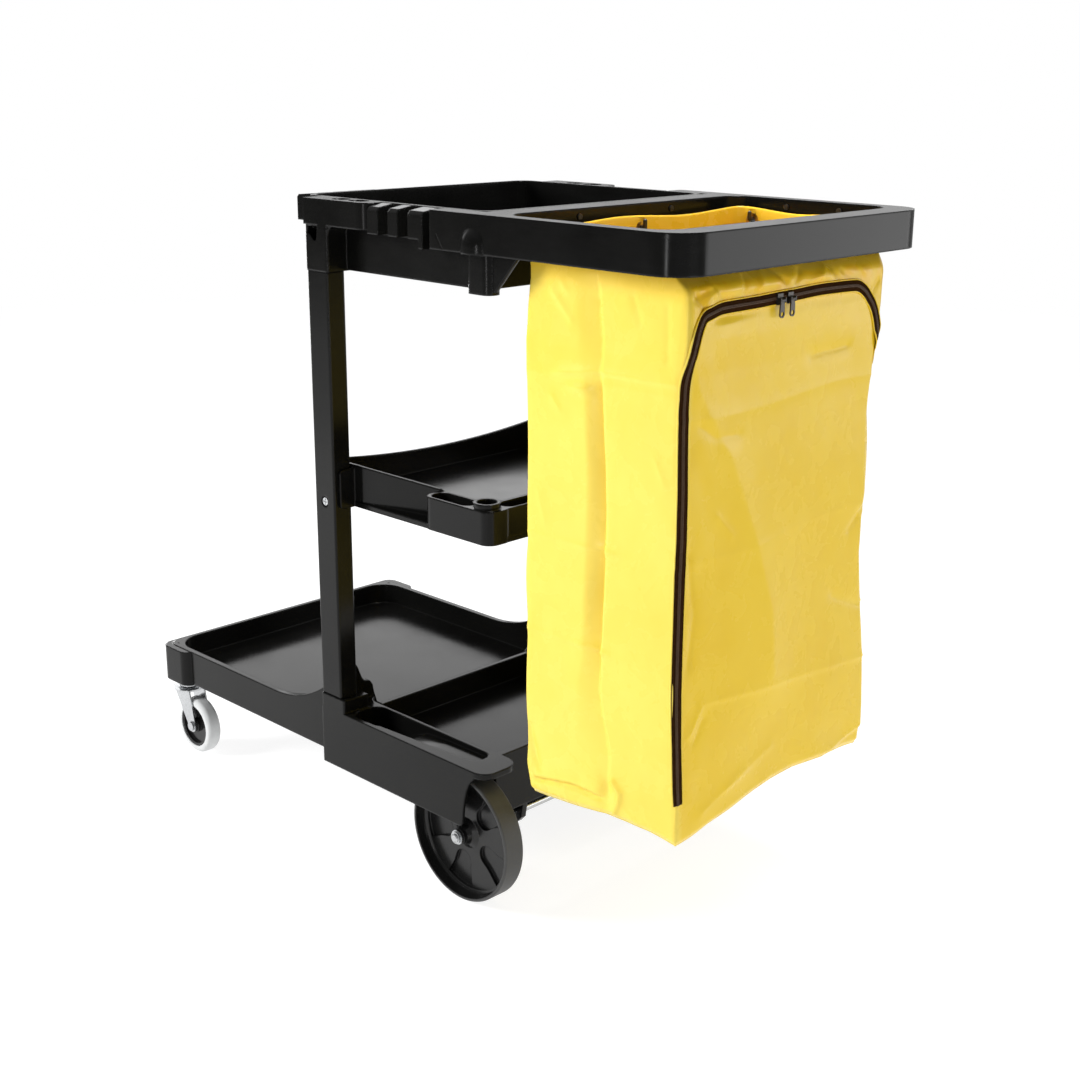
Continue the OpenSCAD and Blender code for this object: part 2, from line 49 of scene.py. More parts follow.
# ----------------------------------------------------------------------------
# camera and light
# ----------------------------------------------------------------------------
def make_camera():
    az, el, roll = (math.radians(a) for a in (44.698, 16.784, 0.324))
    fwd = Vector((-math.sin(az) * math.cos(el), math.cos(az) * math.cos(el), -math.sin(el)))
    right = fwd.cross(Vector((0, 0, 1))).normalized()
    up = right.cross(fwd).normalized()
    r2 = right * math.cos(roll) + up * math.sin(roll)
    u2 = -right * math.sin(roll) + up * math.cos(roll)
    cam = bpy.data.objects.new("camera", bpy.data.cameras.new("camera"))
    scene.collection.objects.link(cam)
    m = Matrix((r2, u2, -fwd)).transposed().to_4x4()
    m.translation = Vector((1.72961, -1.64656, 1.17755))
    cam.matrix_world = m
    cam.data.sensor_width = 36.0
    cam.data.lens = 52.553
    cam.data.clip_end = 60
    scene.camera = cam


def area_light(name, loc, target, size, size_y, power, colour=(1, 1, 1)):
    d = bpy.data.lights.new(name, "AREA")
    d.shape = "RECTANGLE"
    d.size, d.size_y, d.energy, d.color = size, size_y, power, colour
    o = bpy.data.objects.new(name, d)
    scene.collection.objects.link(o)
    o.location = loc
    o.rotation_euler = (Vector(target) - Vector(loc)).to_track_quat("-Z", "Y").to_euler()
    return o


def make_stage():
    """White sweep for the eye; the room that lights the cart has a darker near side, so gloss has something to show."""
    w = bpy.data.worlds.new("studio")
    scene.world = w
    w.use_nodes = True
    t = w.node_tree
    bg = t.nodes["Background"]
    co = t.nodes.new("ShaderNodeTexCoord")

    def along(axis):
        n = t.nodes.new("ShaderNodeVectorMath")
        n.operation = "DOT_PRODUCT"
        t.links.new(co.outputs["Generated"], n.inputs[0])
        n.inputs[1].default_value = axis
        return n.outputs["Value"]

    def step(v, lo, hi, a, b):
        n = t.nodes.new("ShaderNodeMapRange")
        n.interpolation_type = "SMOOTHSTEP"
        for k, val in (("From Min", lo), ("From Max", hi), ("To Min", a), ("To Max", b)):
            n.inputs[k].default_value = val
        t.links.new(v, n.inputs["Value"])
        return n.outputs["Result"]

    def calc(op, a, b):
        n = t.nodes.new("ShaderNodeMath")
        n.operation = op
        for i, v in enumerate((a, b)):
            if isinstance(v, float):
                n.inputs[i].default_value = v
            else:
                t.links.new(v, n.inputs[i])
        return n.outputs[0]

    up = along((0.0, 0.0, 1.0))
    near = step(along((-0.55, -0.835, 0.0)), 0.05, 0.75, 0.0, 1.0)
    low = step(up, 0.30, 0.75, 1.0, 0.0)
    back = step(along((-0.72, 0.69, 0.0)), 0.30, 0.80, 0.0, 1.0)
    rise = step(up, 0.10, 0.21, 0.0, 1.0)
    side = step(along((0.95, 0.30, 0.0)), 0.2, 0.9, 0.0, 0.04)
    room = calc("SUBTRACT", calc("SUBTRACT", 0.38, calc("MULTIPLY", calc("MULTIPLY", near, low), 0.28)), side)
    room = calc("ADD", room, calc("MULTIPLY", back, calc("MULTIPLY", rise, step(up, 0.32, 0.64, 1.6, 0.0))))
    path = t.nodes.new("ShaderNodeLightPath")
    t.links.new(calc("MAXIMUM", path.outputs["Is Camera Ray"], room), bg.inputs["Strength"])
    bg.inputs["Color"].default_value = (1.0, 1.0, 1.0, 1)
    area_light("key", (-1.98, -2.32, 1.80), (0.2, -0.1, 0.6), 1.0, 1.2, 122)
    # the strong key lights the vinyl; gloss sees a weaker panel in its place, so tray floors do not glare from behind
    area_light("sheen", (-1.98, -2.32, 1.80), (0.2, -0.1, 0.6), 1.0, 1.2, 18)
    bpy.data.objects["key"].visible_glossy = False
    bpy.data.objects["sheen"].visible_diffuse = False
    area_light("front", (1.25, -3.3, 0.60), (0.2, 0, 0.75), 0.2, 1.0, 9)
    area_light("fill", (3.0, 3.3, 0.70), (0.4, 0, 0.7), 2.4, 1.3, 28)
    area_light("low", (2.75, -0.15, 0.28), (0.5, 0, 0.85), 1.0, 0.4, 6)
    area_light("over", (0.42, 0.10, 2.3), (0.42, 0.02, 0.9), 0.6, 0.6, 34)
    area_light("rim", (-3.2, 0.9, 0.9), (-0.1, -0.2, 0.7), 0.2, 1.6, 12)
    bm = bmesh.new()
    bmesh.ops.create_circle(bm, cap_ends=True, segments=96, radius=6.0)
    me = bpy.data.meshes.new("floor")
    bm.to_mesh(me)
    bm.free()
    fl = bpy.data.objects.new("floor", me)
    scene.collection.objects.link(fl)
    m = bpy.data.materials.new("floor_white")
    m.use_nodes = True
    b = m.node_tree.nodes["Principled BSDF"]
    b.inputs["Base Color"].default_value = (0.30, 0.30, 0.30, 1)
    b.inputs["Roughness"].default_value = 0.9
    b.inputs["Specular IOR Level"].default_value = 0.0
    b.inputs["Emission Color"].default_value = (1, 1, 1, 1)
    b.inputs["Emission Strength"].default_value = 0.86
    me.materials.append(m)


# ----------------------------------------------------------------------------
# materials, all from nodes
# ----------------------------------------------------------------------------
class Mat:
    def __init__(self, name):
        self.m = bpy.data.materials.new(name)
        self.m.use_nodes = True
        self.t = self.m.node_tree
        self.b = self.t.nodes["Principled BSDF"]
        self.co = self.t.nodes.new("ShaderNodeTexCoord")

    def set(self, **kw):
        for k, v in kw.items():
            self.b.inputs[k.replace("_", " ")].default_value = v
        return self

    def link(self, a, b):
        self.t.links.new(a, b)

    def mapping(self, scale=(1, 1, 1), rot=(0, 0, 0)):
        n = self.t.nodes.new("ShaderNodeMapping")
        n.inputs["Scale"].default_value = scale
        n.inputs["Rotation"].default_value = rot
        self.link(self.co.outputs["Object"], n.inputs["Vector"])
        return n.outputs["Vector"]

    def noise(self, scale, detail=3.0, rough=0.55, vec=None, distort=0.0):
        n = self.t.nodes.new("ShaderNodeTexNoise")
        n.inputs["Scale"].default_value = scale
        n.inputs["Detail"].default_value = detail
        n.inputs["Roughness"].default_value = rough
        n.inputs["Distortion"].default_value = distort
        self.link(vec or self.co.outputs["Object"], n.inputs["Vector"])
        return n.outputs["Fac"]

    def wave(self, scale, vec=None, distort=0.0, direction="X"):
        n = self.t.nodes.new("ShaderNodeTexWave")
        n.bands_direction = direction
        n.inputs["Scale"].default_value = scale
        n.inputs["Distortion"].default_value = distort
        self.link(vec or self.co.outputs["Object"], n.inputs["Vector"])
        return n.outputs["Fac"]

    def ramp(self, fac, stops):
        n = self.t.nodes.new("ShaderNodeValToRGB")
        el = n.color_ramp.elements
        while len(el) < len(stops):
            el.new(0.5)
        for e, (p, c) in zip(el, stops):
            e.position = p
            e.color = (*c, 1) if len(c) == 3 else c
        self.link(fac, n.inputs["Fac"])
        return n.outputs["Color"]

    def rng(self, fac, a, b, lo=0.0, hi=1.0):
        n = self.t.nodes.new("ShaderNodeMapRange")
        for k, v in (("From Min", lo), ("From Max", hi), ("To Min", a), ("To Max", b)):
            n.inputs[k].default_value = v
        self.link(fac, n.inputs["Value"])
        return n.outputs["Result"]

    def math(self, op, a, b):
        n = self.t.nodes.new("ShaderNodeMath")
        n.operation = op
        for i, v in enumerate((a, b)):
            if isinstance(v, (int, float)):
                n.inputs[i].default_value = v
            else:
                self.link(v, n.inputs[i])
        return n.outputs[0]

    def bump(self, height, strength, dist=0.001, normal=None):
        n = self.t.nodes.new("ShaderNodeBump")
        n.inputs["Strength"].default_value = strength
        n.inputs["Distance"].default_value = dist
        self.link(height, n.inputs["Height"])
        if normal is not None:
            self.link(normal, n.inputs["Normal"])
        self.link(n.outputs["Normal"], self.b.inputs["Normal"])
        return n.outputs["Normal"]


def moulded(name, lo, hi, r0, r1, grain=420.0, strength=0.10, ior=1.26, edge=0.0036):
    """Injection moulded plastic: fine spark texture, soft tone changes, faint scuffs."""
    m = Mat(name)
    tone = m.noise(7.0, 4.0, 0.6)
    scuff = m.noise(26.0, 6.0, 0.72, m.mapping((1.0, 1.0, 4.0), (0.3, 0.5, 0.2)))
    mix = m.math("ADD", m.math("MULTIPLY", tone, 0.7), m.math("MULTIPLY", scuff, 0.3))
    m.link(m.ramp(mix, [(0.30, lo), (0.72, hi)]), m.b.inputs["Base Color"])
    m.link(m.rng(mix, r0, r1, 0.3, 0.7), m.b.inputs["Roughness"])
    rounded = m.t.nodes.new("ShaderNodeBevel")
    rounded.samples = 6
    rounded.inputs["Radius"].default_value = edge
    m.bump(m.noise(grain, 2.0, 0.5), strength, 0.00008, rounded.outputs["Normal"])
    m.set(IOR=ior)
    return m.m


def rubber(name, lo, hi, rough, grain=300.0):
    m = Mat(name)
    dust = m.noise(16.0, 6.0, 0.7)
    m.link(m.ramp(dust, [(0.35, lo), (0.75, hi)]), m.b.inputs["Base Color"])
    m.link(m.rng(dust, rough - 0.08, rough + 0.12, 0.3, 0.75), m.b.inputs["Roughness"])
    m.bump(m.noise(grain, 3.0, 0.6), 0.22, 0.0006)
    return m.m


def metal(name, lo, hi, r0, r1, stretch=(1, 1, 1), metallic=1.0):
    m = Mat(name)
    brush = m.noise(160.0, 4.0, 0.65, m.mapping(stretch))
    stain = m.noise(30.0, 5.0, 0.6)
    mix = m.math("ADD", m.math("MULTIPLY", brush, 0.6), m.math("MULTIPLY", stain, 0.4))
    m.link(m.ramp(mix, [(0.3, lo), (0.7, hi)]), m.b.inputs["Base Color"])
    m.link(m.rng(mix, r0, r1, 0.3, 0.7), m.b.inputs["Roughness"])
    m.bump(brush, 0.08, 0.0004)
    m.set(Metallic=metallic)
    return m.m


def vinyl(name):
    """Thin coated sheet: lemon yellow, clear gloss, a faint crinkle and a fine scrim; painted shade: a deeper golden
    copy of the yellow on the +X face, and a painted shadow band that turns orange under the rail, mottled on the +X
    face.
    """
    m = Mat(name)
    cloud = m.noise(5.0, 4.0, 0.6)
    crink = m.noise(22.0, 4.0, 0.55, None, 0.4)
    mix = m.math("ADD", m.math("MULTIPLY", cloud, 0.6), m.math("MULTIPLY", crink, 0.4))
    sep = m.t.nodes.new("ShaderNodeSeparateXYZ")
    m.link(m.co.outputs["Object"], sep.inputs[0])
    # painted shadow: the colour turns deeper orange towards the top, where the rail shades the sheet
    top = m.rng(m.math("ADD", sep.outputs["Z"], m.math("MULTIPLY", crink, 0.016)), 0.0, 0.75, 0.915, 0.952)
    # lit and shaded copies of one yellow: paler lemon on the lit faces, a deeper golden painted shade on the +X face
    lit_sides_tint = m.ramp(mix, [(0.28, (0.85, 0.640, 0.082)), (0.50, (0.87, 0.670, 0.100)), (0.74, (0.89, 0.700, 0.125))])
    shaded_door_tint = m.ramp(mix, [(0.28, (0.79, 0.520, 0.012)), (0.50, (0.82, 0.560, 0.020)), (0.74, (0.84, 0.590, 0.030))])
    # mask of the +X face, which takes the painted shade copy
    shaded_door_mask = m.math("MULTIPLY", m.rng(sep.outputs["X"], 0.0, 1.0, 0.546, 0.554), m.rng(sep.outputs["Y"], 0.0, 1.0, -0.220, -0.208))
    # painted mottled shade on the +X face between the zipper and the rail
    mottled_shade = m.rng(m.noise(38.0, 3.0, 0.6, m.mapping((1, 1, 0.6)), 0.6), 0.1, 1.0, 0.36, 0.62)
    top = m.math("MAXIMUM", top, m.math("MULTIPLY", m.math("MULTIPLY", shaded_door_mask, mottled_shade), m.rng(sep.outputs["Z"], 0.0, 0.95, 0.885, 0.920)))

    def blend(fac, a, b):
        n = m.t.nodes.new("ShaderNodeMix")
        n.data_type = "RGBA"
        m.link(fac, n.inputs[0])
        m.link(a, n.inputs[6])
        if isinstance(b, tuple):
            n.inputs[7].default_value = b
        else:
            m.link(b, n.inputs[7])
        return n.outputs[2]

    # the painted shadow band under the rail is laid over the lit and shaded copies
    m.link(blend(top, blend(shaded_door_mask, lit_sides_tint, shaded_door_tint), (0.82, 0.47, 0.012, 1)), m.b.inputs["Base Color"])
    m.link(m.rng(crink, 0.20, 0.34, 0.3, 0.7), m.b.inputs["Roughness"])
    weave = m.math("MULTIPLY", m.wave(420.0, None, 0.0, "Z"), m.wave(420.0, m.mapping((1, 1, 1), (0, 0, 0.7854)), 0.0, "X"))
    n1 = m.bump(crink, 0.03, 0.004)
    m.bump(weave, 0.03, 0.0003, n1)
    m.set(IOR=1.33, Coat_Weight=0.06, Coat_Roughness=0.14)
    return m.m


def cloth_tape(name):
    m = Mat(name)
    fib = m.noise(220.0, 4.0, 0.7)
    m.link(m.ramp(fib, [(0.3, (0.020, 0.0085, 0.0030)), (0.7, (0.042, 0.018, 0.0070))]), m.b.inputs["Base Color"])
    m.link(m.rng(fib, 0.55, 0.8), m.b.inputs["Roughness"])
    m.set(Specular_IOR_Level=0.0)
    m.bump(m.wave(520.0, m.mapping((1, 1, 1), (0.5, 0, 0.6)), 1.0), 0.35, 0.0006)
    return m.m


def coil(name):
    """Coil of the zipper: close turns across the tape."""
    m = Mat(name)
    turns = m.wave(900.0, m.mapping((1, 1, 1), (0.5, 0, 0.6)), 0.4)
    m.link(m.ramp(turns, [(0.25, (0.030, 0.014, 0.006)), (0.75, (0.110, 0.062, 0.034))]), m.b.inputs["Base Color"])
    m.link(m.rng(turns, 0.5, 0.36), m.b.inputs["Roughness"])
    m.bump(turns, 0.5, 0.0008)
    m.set(Specular_IOR_Level=0.15)
    return m.m


def make_materials():
    M = {}
    M["black_plastic"] = moulded("black_moulded", (0.0030, 0.0030, 0.0028), (0.0060, 0.0060, 0.0056), 0.13, 0.24, 420.0, 0.06)
    M["wheel_plastic"] = moulded("wheel_moulded", (0.005, 0.005, 0.005), (0.010, 0.010, 0.010), 0.16, 0.28, 420.0, 0.06, 1.40, 0.0022)
    M["rear_tyre"] = rubber("tyre_dark", (0.026, 0.026, 0.026), (0.050, 0.050, 0.050), 0.50)
    M["grey_tyre"] = rubber("tyre_grey", (0.52, 0.53, 0.53), (0.66, 0.67, 0.67), 0.45)
    M["zinc_steel"] = metal("zinc", (0.40, 0.41, 0.42), (0.62, 0.63, 0.64), 0.16, 0.34, (1, 1, 6))
    M["dark_metal"] = metal("dark_metal", (0.035, 0.032, 0.030), (0.080, 0.074, 0.068), 0.28, 0.45, (1, 1, 1), 0.8)
    M["bag_vinyl"] = vinyl("vinyl_yellow")
    M["grommet_brass"] = metal("brass_dull", (0.34, 0.23, 0.09), (0.62, 0.45, 0.20), 0.22, 0.42)
    M["zip_tape"] = cloth_tape("tape_dark")
    M["zip_coil"] = coil("coil_brown")
    return M


# ----------------------------------------------------------------------------
# CAD nodes: materials
# ----------------------------------------------------------------------------
def dress_nodes(M):
    slots = {s["node"]: s["material_slot"] for s in frame["record"]["subparts"]}
    for n, o in NODES.items():
        o.data.materials.clear()
        o.data.materials.append(M[slots[n]])


# ----------------------------------------------------------------------------
# the bag: one lofted sheet with folds, then hem and zipper
# ----------------------------------------------------------------------------
def interp(z, pts):
    zs = np.array([p[0] for p in pts], float)
    vs = np.array([p[1] for p in pts], float)
    return np.interp(z, zs, vs)


def smooth(a, b, x):
    t = np.clip((x - a) / (b - a), 0, 1)
    return t * t * (3 - 2 * t)


def bumpy(x, y, seed, n, lo, hi):
    """Smooth, repeatable unevenness in about -1..1, waves between lo and hi mm long."""
    rng = np.random.default_rng(seed)
    out = np.zeros_like(x)
    for _ in range(n):
        L = math.exp(rng.uniform(math.log(lo), math.log(hi)))
        a = rng.uniform(0, 2 * math.pi)
        k = 2 * math.pi / L
        out += np.sin(k * (math.cos(a) * x + math.sin(a) * y) + rng.uniform(0, 6.28)) * (L / hi) ** 0.7
    return out / math.sqrt(n)


BX0, BX1, BY0, BY1 = 297.0, 557.0, -222.0, 200.0   # nominal section of the bag
NEAR_Y = [(205, -223), (280, -224), (350, -225), (415, -224), (480, -223), (580, -221.5), (660, -223), (741, -226), (800, -228), (838, -226), (870, -222), (915, -219), (979, -217)]
FAR_Y = [(205, 216), (284, 215), (351, 210), (446, 200), (520, 188), (571, 185), (608, 187), (660, 184), (722, 180), (801, 186), (830, 191), (876, 196), (914, 198), (935, 194)]


def fold(a, b, pts, amp, w):
    """Sharp ridge (amp > 0) or crease along a line of points in the plane (a, b), mm."""
    d = np.full(np.shape(a), 1e9)
    for (a0, b0), (a1, b1) in zip(pts[:-1], pts[1:]):
        L2 = (a1 - a0) ** 2 + (b1 - b0) ** 2
        t = np.clip(((a - a0) * (a1 - a0) + (b - b0) * (b1 - b0)) / L2, 0, 1)
        d = np.minimum(d, np.hypot(a - a0 - t * (a1 - a0), b - b0 - t * (b1 - b0)))
    return amp * np.exp(-np.sqrt(d * d + 0.6) / w)


CORNER, FAR_CORNER = 6.0, 10.0


def section(step=3.2):
    """Rounded outline, anticlockwise from the front left corner: u along x, v along y, both 0..1, and outward normals."""
    radii = {"a": 5.0, "b": CORNER, "c": FAR_CORNER, "d": 16.0}
    pts = []

    def line(p, q):
        p, q = np.array(p), np.array(q)
        n = max(2, int(np.linalg.norm(q - p) / step))
        d = (q - p) / np.linalg.norm(q - p)
        for i in range(n):
            pts.append((*(p + (q - p) * i / n), d[1], -d[0]))

    def arc(c, r, a0):
        n = max(4, int(r * 1.57 / (step * 0.75)))
        for i in range(n):
            a = math.radians(a0 + 90.0 * i / n)
            pts.append((c[0] + r * math.cos(a), c[1] + r * math.sin(a), math.cos(a), math.sin(a)))

    a, b, c, d = radii["a"], radii["b"], radii["c"], radii["d"]
    line((BX0 + a, BY0), (BX1 - b, BY0))
    arc((BX1 - b, BY0 + b), b, -90)
    line((BX1, BY0 + b), (BX1, BY1 - c))
    arc((BX1 - c, BY1 - c), c, 0)
    line((BX1 - c, BY1), (BX0 + d, BY1))
    arc((BX0 + d, BY1 - d), d, 90)
    line((BX0, BY1 - d), (BX0, BY0 + a))
    arc((BX0 + a, BY0 + a), a, 180)
    p = np.array(pts)
    return p[:, 0], p[:, 1], p[:, 2], p[:, 3]


def bag_shape(px, py, nx, ny, z):
    """Positions in mm for outline points (px, py) with normals, at heights z. All arrays have one shape."""
    u = (px - BX0) / (BX1 - BX0)
    v = (py - BY0) / (BY1 - BY0)
    near = 1 - v
    xr = 556.0 + near * interp(z, [(205, 13), (308, 10), (416, 5), (547, 2), (650, 1), (822, 0), (864, 2), (886, 1.2), (914, 1.2), (928, 4), (950, 0)])
    xl = interp(z, [(205, 304), (247, 297), (483, 296), (596, 295), (692, 297), (785, 297), (837, 294), (889, 294), (934, 295)])
    yn = interp(z, NEAR_Y)
    yf = interp(z, FAR_Y)
    # the sheet turns in under the rail and hangs from the hooks
    k = smooth(918, 956, z)
    xr = xr * (1 - k) + 529.5 * k
    xl = xl * (1 - k) + 289.5 * k
    yf = yf * (1 - k) + 216.5 * k
    yn = yn * (1 - k) - 216.5 * k
    x = xl + (xr - xl) * u
    y = yn + (yf - yn) * v
    front = smooth(0.5, 0.95, -ny)          # -Y face
    rear = smooth(0.5, 0.95, nx)            # +X face
    far = smooth(0.5, 0.95, ny)
    back = smooth(0.5, 0.95, -nx)
    body = smooth(212, 250, z) * (1 - smooth(905, 945, z))
    d = np.zeros_like(x)
    # slow swell of the hanging sheet
    d += body * front * 2.4 * bumpy(x, z, 11, 5, 190, 420)
    d += body * rear * 2.6 * bumpy(y, z, 23, 5, 210, 460)
    d += body * (far + back) * 4.0 * bumpy(x + y, z, 31, 6, 150, 400)
    # fold line down the -Y face: the strip beside it falls back, then springs out sharply
    xc = interp(z, [(205, 452), (302, 451), (325, 446), (357, 436), (391, 429), (430, 430), (580, 430), (702, 432), (759, 431), (800, 428), (814, 428), (852, 425), (878, 417), (925, 410)])
    t = x - xc
    depth = interp(z, [(225, 0), (290, 2), (330, 4), (400, 6), (445, 9), (520, 13), (590, 10), (700, 13), (790, 10), (806, 4), (815, 3), (850, 5), (900, 5), (932, 2)])
    wide = interp(z, [(205, 26), (330, 26), (430, 16), (800, 14), (830, 20), (940, 20)])
    d += front * np.where(t < 0, -1.4 * depth * np.clip(1 + t / (1.9 * wide), 0, 1) ** 1.35, -1.4 * depth * np.exp(-t / 1.8))
    # packing folds across the faces
    for z0, amp, w, tilt in ((814.5, 3.8, 6.5, 0.139), (580, 4.6, 5.5, 0.0), (445, 5.2, 6.0, 0.0)):
        zc = z0 + tilt * np.minimum(t, 0)
        s = z - zc
        ridge = np.where(s > 0, np.exp(-s / w), np.exp(s / (0.5 * w)))
        ends = smooth(340, 366, x) if z0 > 700 else 0.22 + 0.78 * np.exp(t / 26.0)
        d += front * amp * ridge * np.where(t < 0, ends, 0.42 if z0 > 700 else 0.8 * np.exp(-t / 24.0))
        d += back * 1.8 * ridge + far * 1.8 * ridge
    d += front * 2.6 * np.exp(-((x - 395) / 19.0) ** 2 - ((z - 789) / 5.5) ** 2)
    # drag lines from the hooks and short knocks in the sheet
    for line, amp, w in (
        ([(336, 906), (372, 870)], 2.0, 3.4), ([(352, 919), (361, 906)], 1.6, 3.0), ([(345, 772), (358, 757)], 1.4, 3.2),
        ([(304, 300), (312, 262), (322, 246)], -4.2, 8.0), ([(520, 720), (534, 690)], 1.2, 3.0), ([(318, 640), (330, 600)], 1.0, 4.0),
        ([(470, 912), (486, 880)], -1.4, 4.0), ([(527, 905), (535, 840)], -1.6, 4.0),
    ):
        d += front * fold(x, z, line, amp, w)
    for line, amp, w in (
        ([(-203, 918), (-169, 924), (-149, 903)], -2.8, 4.0), ([(-193, 903), (-205, 921)], -2.2, 3.5), ([(-180, 930), (-160, 912)], 1.8, 3.2),
        ([(-120, 908), (-104, 932)], -2.0, 4.0), ([(-84, 912), (-70, 936)], 1.8, 3.6), ([(-48, 940), (-26, 919)], -3.0, 4.2),
        ([(-6, 917), (9, 931)], -2.8, 3.6), ([(22, 914), (52, 922), (64, 935)], 2.0, 3.4), ([(72, 936), (91, 908)], -3.2, 4.2),
        ([(96, 923), (130, 906)], -2.4, 3.6), ([(140, 925), (158, 905)], 1.8, 3.4), ([(166, 887), (181, 903)], -2.4, 4.0),
        ([(40, 819), (118, 822)], -2.0, 6.0), ([(-196, 358), (-173, 390)], 2.0, 3.4), ([(-184, 346), (-166, 372)], -1.6, 3.6),
        ([(-190, 760), (-160, 742), (-110, 738)], -1.5, 6.0), ([(-150, 640), (-120, 610)], 1.0, 5.0), ([(150, 560), (184, 590)], -2.0, 6.0),
        ([(120, 470), (190, 440)], -1.6, 7.0), ([(-203, 600), (-186, 520), (-196, 450)], -2.0, 7.0),
    ):
        d += rear * fold(y, z, line, amp * 1.7, w)
    # the panel kinks along a long slanting line, with pulls towards the foot
    d += rear * body * fold(y, z, [(-215, 850), (-197, 803), (-125, 707), (-75, 600), (-35, 490), (-27, 400)], 8.0, 60.0)
    d += rear * fold(y, z, [(-168, 246), (-75, 276)], 2.4, 7.0) + rear * fold(y, z, [(-119, 260), (-17, 288)], 2.0, 8.0)
    s = z - (397 - 0.09 * (y + 200))
    d += rear * smooth(-200, -150, y) * 1.9 * np.where(s > 0, np.exp(-s / 8.0), np.exp(s / 3.5))
    for z0, amp, w in ((590, 1.0, 7.0), (772, 0.9, 6.0)):
        d += rear * amp * np.exp(-np.abs(z - z0 - 6 * np.sin(y / 70.0)) / w)
    # drapes under the rail
    top = smooth(870, 925, z) * (1 - smooth(940, 958, z))
    d += top * rear * 1.5 * bumpy(y * 1.0, z * 0.45, 47, 6, 28, 90)
    d += top * front * 1.0 * bumpy(x * 1.0, z * 0.35, 53, 5, 34, 90)
    d += top * (far + back) * 2.4 * bumpy((x + y), z * 0.4, 59, 5, 30, 100)
    # crush lines beside the zipper
    d += rear * body * 0.8 * bumpy(y, z * 0.6, 67, 6, 26, 70) * np.exp(-((y + 190) / 26.0) ** 2)
    # foot: the bottom panel is folded under the -Y face, with a knuckle where the fold stops
    foot = 1 - smooth(225, 330, z)
    d += foot * front * 1.2 * bumpy(x, z * 1.4, 71, 5, 50, 140)
    d += foot * rear * 1.4 * bumpy(y * 0.8, z + y * 0.6, 73, 5, 50, 140)
    fl = interp(x, [(300, 224), (323, 229), (352, 235), (380, 240), (411, 241), (439, 240), (460, 238)])
    s = z - fl
    lip = 4.6 * np.exp(-np.abs(s) / 15.0) - 7.8 * np.exp(-((s + 1.5) / 3.0) ** 2)
    d += front * lip * smooth(308, 322, x) * (1 - smooth(428, 447, x))
    d += front * fold(x, z, [(460, 270), (473, 258), (471, 241), (463, 226)], 6.4, 4.0)
    d -= front * 3.6 * np.exp(-((x - 449) / 8.0) ** 2 - ((z - 254) / 14.0) ** 2)
    d += front * fold(x, z, [(480, 236), (500, 226)], 1.8, 4.0)
    # far corner of the foot, folded under in a triangle
    s = z - (228 + 0.22 * (y - 110))
    d += rear * np.where(s > 0, 1.5 * np.exp(-s / 9.0), 1.5 - 3.2 * (1 - np.exp(s / 3.0))) * smooth(95, 135, y)
    # fine crinkle all over
    d += 0.16 * bumpy(x + y * 0.7, z + y * 0.3, 83, 10, 22, 60) * body
    # the straight run of the zipper is held flat by its tape
    flat = rear * (1 - smooth(9, 22, np.abs(z - 900))) * (1 - smooth(146, 192, np.abs(y)))
    d *= 1 - 0.96 * flat
    x = x + nx * d
    y = y + ny * d
    x = np.where((rear > 0.5) & (z > 935), np.minimum(x, 556.5), x)
    return x, y


def floor_z(px, py):
    """Height of the bottom seam along the outline: the corners hang lower than the middles."""
    fy = interp(px, [(297, 203), (333, 204), (399, 211), (436, 216), (508, 217), (557, 211)])
    fx = interp(py, [(-222, 211), (-185, 214), (-123, 221), (-69, 228), (-14, 234), (39, 234), (104, 229), (167, 222), (200, 218)])
    u = (px - BX0) / (BX1 - BX0)
    v = (py - BY0) / (BY1 - BY0)
    back = 203 + 22 * v
    w_front, w_rear = np.clip(1 - v * 6, 0, 1), np.clip((u - 0.85) / 0.15, 0, 1)
    base = back * (1 - u) + (225 - 4 * np.sin(u * 3.14)) * u
    return (fx * w_rear + base * (1 - w_rear)) * (1 - w_front) + fy * w_front


GROMMETS = [((288, 0, 963), "x"), ((531, 0, 963), "x")] + [((x, s * 218, 963), "y") for x in (316, 496) for s in (-1, 1)]


def new_object(name, verts, faces, mat):
    me = bpy.data.meshes.new(name)
    me.from_pydata([tuple(v) for v in verts], [], faces)
    me.validate()
    me.update()
    me.shade_smooth()
    o = bpy.data.objects.new(name, me)
    scene.collection.objects.link(o)
    me.materials.append(mat)
    return o


